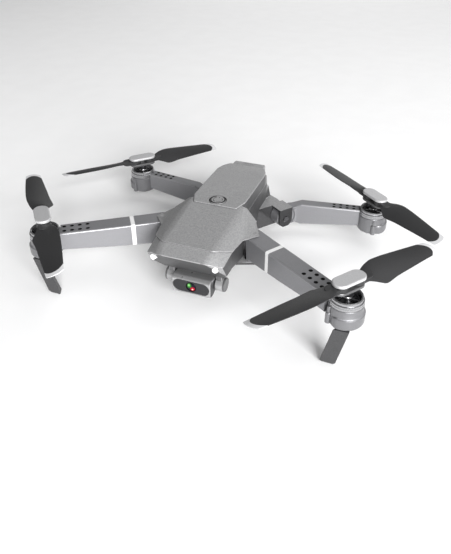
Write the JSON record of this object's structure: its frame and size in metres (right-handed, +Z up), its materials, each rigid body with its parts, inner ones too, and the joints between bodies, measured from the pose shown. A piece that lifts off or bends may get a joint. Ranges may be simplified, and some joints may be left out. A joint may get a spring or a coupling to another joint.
{
  "type": "quadcopter drone",
  "caption": "Folding camera quadcopter: wedge-nosed grey body, hinged arms with open motor pods, two-blade folding rotors, front legs, chin camera and a slide-out battery.",
  "frame": {"origin": "on the flat belly face, in the middle plane, 10 mm ahead of the middle of its length", "axes": "+X to the right side, -Y to the nose, +Z up"},
  "size_m": [0.2742, 0.2211, 0.0543],
  "materials": {
    "shell": "satin grey with fine metallic fleck",
    "cover": "satin grey with fine metallic fleck",
    "arm": "satin grey",
    "camera_case": "satin grey",
    "window": "glossy black",
    "lens": "polished",
    "lamp": "milky white",
    "button": "satin grey",
    "catch": "satin",
    "battery": "satin",
    "board": "matt",
    "pin": "brushed",
    "collar": "gloss metallic grey",
    "motor": "dark, satin",
    "rotor_hub": "matt black",
    "rotor_cap": "silver grey",
    "blade": "matt charcoal"
  },
  "bodies": {
    "airframe": {"lower_shell": "shell", "upper_shell": "shell", "rear_cover": "cover", "nose_cap": "shell", "nose_lamp_right": "lamp", "nose_lamp_left": "lamp", "main_board": "board", "camera_axle": "camera_case", "arm_pin_front_right": "pin", "arm_pin_front_left": "pin", "arm_pin_rear_right": "pin", "arm_pin_rear_left": "pin"},
    "power_button": {"power_button": "button"},
    "battery": {"battery_pack": "battery"},
    "battery_catch": {"battery_catch": "catch"},
    "camera": {"camera_body": "camera_case", "camera_window": "window", "camera_lens": "lens"},
    "arm_front_right": {"arm_front_right": "arm", "collar_front_right": "collar", "motor_front_right": "motor", "leg_front_right": "arm"},
    "rotor_front_right": {"rotor_hub_front_right": "rotor_hub", "rotor_cap_front_right": "rotor_cap"},
    "blade_a_front_right": {"blade_a_front_right": "blade"},
    "blade_b_front_right": {"blade_b_front_right": "blade"},
    "arm_front_left": {"arm_front_left": "arm", "collar_front_left": "collar", "motor_front_left": "motor", "leg_front_left": "arm"},
    "rotor_front_left": {"rotor_hub_front_left": "rotor_hub", "rotor_cap_front_left": "rotor_cap"},
    "blade_a_front_left": {"blade_a_front_left": "blade"},
    "blade_b_front_left": {"blade_b_front_left": "blade"},
    "arm_rear_right": {"arm_rear_right": "arm", "collar_rear_right": "collar", "motor_rear_right": "motor"},
    "rotor_rear_right": {"rotor_hub_rear_right": "rotor_hub", "rotor_cap_rear_right": "rotor_cap"},
    "blade_a_rear_right": {"blade_a_rear_right": "blade"},
    "blade_b_rear_right": {"blade_b_rear_right": "blade"},
    "arm_rear_left": {"arm_rear_left": "arm", "collar_rear_left": "collar", "motor_rear_left": "motor"},
    "rotor_rear_left": {"rotor_hub_rear_left": "rotor_hub", "rotor_cap_rear_left": "rotor_cap"},
    "blade_a_rear_left": {"blade_a_rear_left": "blade"},
    "blade_b_rear_left": {"blade_b_rear_left": "blade"}
  },
  "joints": [
    {"name": "front_right_arm_fold", "type": "hinge", "parent": "airframe", "child": "arm_front_right", "pos_m": [0.0307, -0.0248, 0.0264], "axis": [0, 0, 1], "range_deg": [0, 95]},
    {"name": "front_right_rotor_spin", "type": "hinge", "parent": "arm_front_right", "child": "rotor_front_right", "pos_m": [0.0925, -0.0616, 0.0398], "axis": [0, 0, 1], "continuous": true},
    {"name": "front_right_blade_a_fold", "type": "hinge", "parent": "rotor_front_right", "child": "blade_a_front_right", "pos_m": [0.09587, -0.05713, 0.0409], "axis": [0, 0, -1], "range_deg": [0, 70]},
    {"name": "front_right_blade_b_fold", "type": "hinge", "parent": "rotor_front_right", "child": "blade_b_front_right", "pos_m": [0.08913, -0.06607, 0.0409], "axis": [0, 0, -1], "range_deg": [0, 70]},
    {"name": "front_left_arm_fold", "type": "hinge", "parent": "airframe", "child": "arm_front_left", "pos_m": [-0.0307, -0.0248, 0.0264], "axis": [0, 0, -1], "range_deg": [0, 95]},
    {"name": "front_left_rotor_spin", "type": "hinge", "parent": "arm_front_left", "child": "rotor_front_left", "pos_m": [-0.0925, -0.0616, 0.0398], "axis": [0, 0, 1], "continuous": true},
    {"name": "front_left_blade_a_fold", "type": "hinge", "parent": "rotor_front_left", "child": "blade_a_front_left", "pos_m": [-0.09621, -0.05741, 0.0409], "axis": [0, 0, 1], "range_deg": [0, 70]},
    {"name": "front_left_blade_b_fold", "type": "hinge", "parent": "rotor_front_left", "child": "blade_b_front_left", "pos_m": [-0.08879, -0.06579, 0.0409], "axis": [0, 0, 1], "range_deg": [0, 70]},
    {"name": "rear_right_arm_fold", "type": "hinge", "parent": "airframe", "child": "arm_rear_right", "pos_m": [0.025, 0.0483, 0.0083], "axis": [-0.7986, 0.6018, 0], "range_deg": [0, 180]},
    {"name": "rear_right_rotor_spin", "type": "hinge", "parent": "arm_rear_right", "child": "rotor_rear_right", "pos_m": [0.09, 0.0618, 0.0246], "axis": [0, 0, 1], "continuous": true},
    {"name": "rear_right_blade_a_fold", "type": "hinge", "parent": "rotor_rear_right", "child": "blade_a_rear_right", "pos_m": [0.09414, 0.05803, 0.0257], "axis": [0, 0, 1], "range_deg": [0, 70]},
    {"name": "rear_right_blade_b_fold", "type": "hinge", "parent": "rotor_rear_right", "child": "blade_b_rear_right", "pos_m": [0.08586, 0.06557, 0.0257], "axis": [0, 0, 1], "range_deg": [0, 70]},
    {"name": "rear_left_arm_fold", "type": "hinge", "parent": "airframe", "child": "arm_rear_left", "pos_m": [-0.025, 0.0483, 0.0083], "axis": [-0.7986, -0.6018, 0], "range_deg": [0, 180]},
    {"name": "rear_left_rotor_spin", "type": "hinge", "parent": "arm_rear_left", "child": "rotor_rear_left", "pos_m": [-0.09, 0.0618, 0.0246], "axis": [0, 0, 1], "continuous": true},
    {"name": "rear_left_blade_a_fold", "type": "hinge", "parent": "rotor_rear_left", "child": "blade_a_rear_left", "pos_m": [-0.09389, 0.05777, 0.0257], "axis": [0, 0, -1], "range_deg": [0, 70]},
    {"name": "rear_left_blade_b_fold", "type": "hinge", "parent": "rotor_rear_left", "child": "blade_b_rear_left", "pos_m": [-0.08611, 0.06583, 0.0257], "axis": [0, 0, -1], "range_deg": [0, 70]},
    {"name": "camera_tilt", "type": "hinge", "parent": "airframe", "child": "camera", "pos_m": [0, -0.0432, 0.007], "axis": [1, 0, 0], "range_deg": [0, 30]},
    {"name": "power_button_press", "type": "slide", "parent": "airframe", "child": "power_button", "axis": [0, 0, -1], "range_m": [0, 0.0005], "stiffness_N_per_m": 400},
    {"name": "battery_slide", "type": "slide", "parent": "airframe", "child": "battery", "axis": [0, 1, 0], "range_m": [0, 0.07]},
    {"name": "battery_catch_press", "type": "slide", "parent": "battery", "child": "battery_catch", "axis": [0, 0, -1], "range_m": [0, 0.0008], "stiffness_N_per_m": 400}
  ]
}
